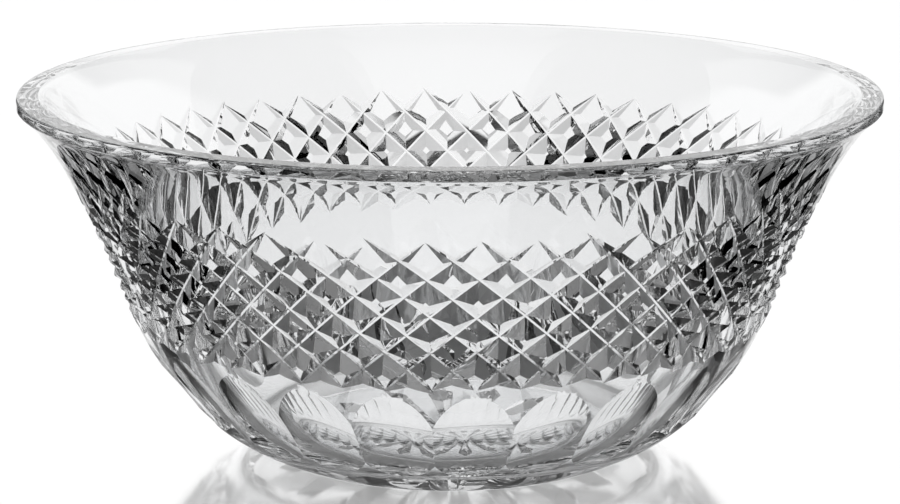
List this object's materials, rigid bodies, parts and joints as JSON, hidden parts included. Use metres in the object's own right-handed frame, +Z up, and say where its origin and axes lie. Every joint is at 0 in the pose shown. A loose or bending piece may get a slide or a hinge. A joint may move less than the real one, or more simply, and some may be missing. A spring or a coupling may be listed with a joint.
{
  "type": "crystal bowl",
  "caption": "Clear cut-crystal serving bowl with a flared flat-ground lip, a band of sharp diamond cutting, a row of oval hollows and a flat star-cut base.",
  "frame": {"origin": "centre of the flat base, on the surface that the bowl stands on", "axes": "+Z up along the bowl's axis, -Y through the middle of an oval at the front, +X to the right seen from the front"},
  "size_m": [0.254, 0.254, 0.108],
  "materials": {
    "crystal": "polished cut crystal"
  },
  "bodies": {
    "root": {"bowl": "crystal"}
  },
  "joints": []
}
